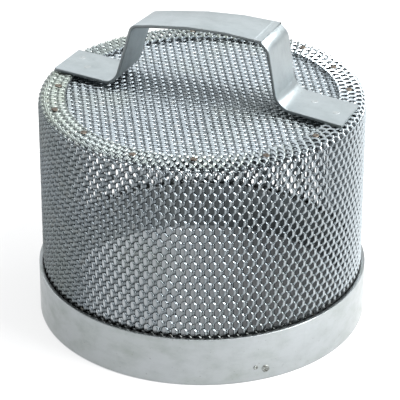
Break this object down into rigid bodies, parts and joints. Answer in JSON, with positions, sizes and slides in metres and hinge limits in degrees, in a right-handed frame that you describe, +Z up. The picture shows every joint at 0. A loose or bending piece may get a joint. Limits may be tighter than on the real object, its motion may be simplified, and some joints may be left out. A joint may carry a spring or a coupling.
{
  "type": "foot valve strainer cap",
  "caption": "Round strainer cap of expanded steel mesh with a sheet band round its open mouth, a mesh top and a bent strap handle.",
  "frame": {"origin": "centre of the open mouth, on the plane that the cap stands on", "axes": "+Z up along the axis of the cylinder, from the open mouth to the mesh top; +X along the handle, towards the foot whose leg is the more upright"},
  "size_m": [0.1, 0.1, 0.0941],
  "materials": {
    "band_steel": "plain rolled stainless sheet, satin",
    "ring_steel": "plain rolled stainless sheet, dull",
    "mesh_steel": "bright sheared strands of raised expanded stainless sheet",
    "strap_steel": "fine brushed stainless strip, satin",
    "weld_mark": "spot weld nugget with a brown and straw heat tint",
    "weld_dark": "grey spot weld mark with a dark pitted rim",
    "weld_grey": "faint grey spot weld mark"
  },
  "bodies": {
    "root": {"outer_band": "band_steel", "inner_ring": "ring_steel", "mesh_wall": "mesh_steel", "mesh_top": "mesh_steel", "handle": "strap_steel", "flange_welds": "weld_mark", "handle_welds": "weld_grey", "band_welds": "weld_dark", "seam_welds": "weld_grey"}
  },
  "joints": []
}
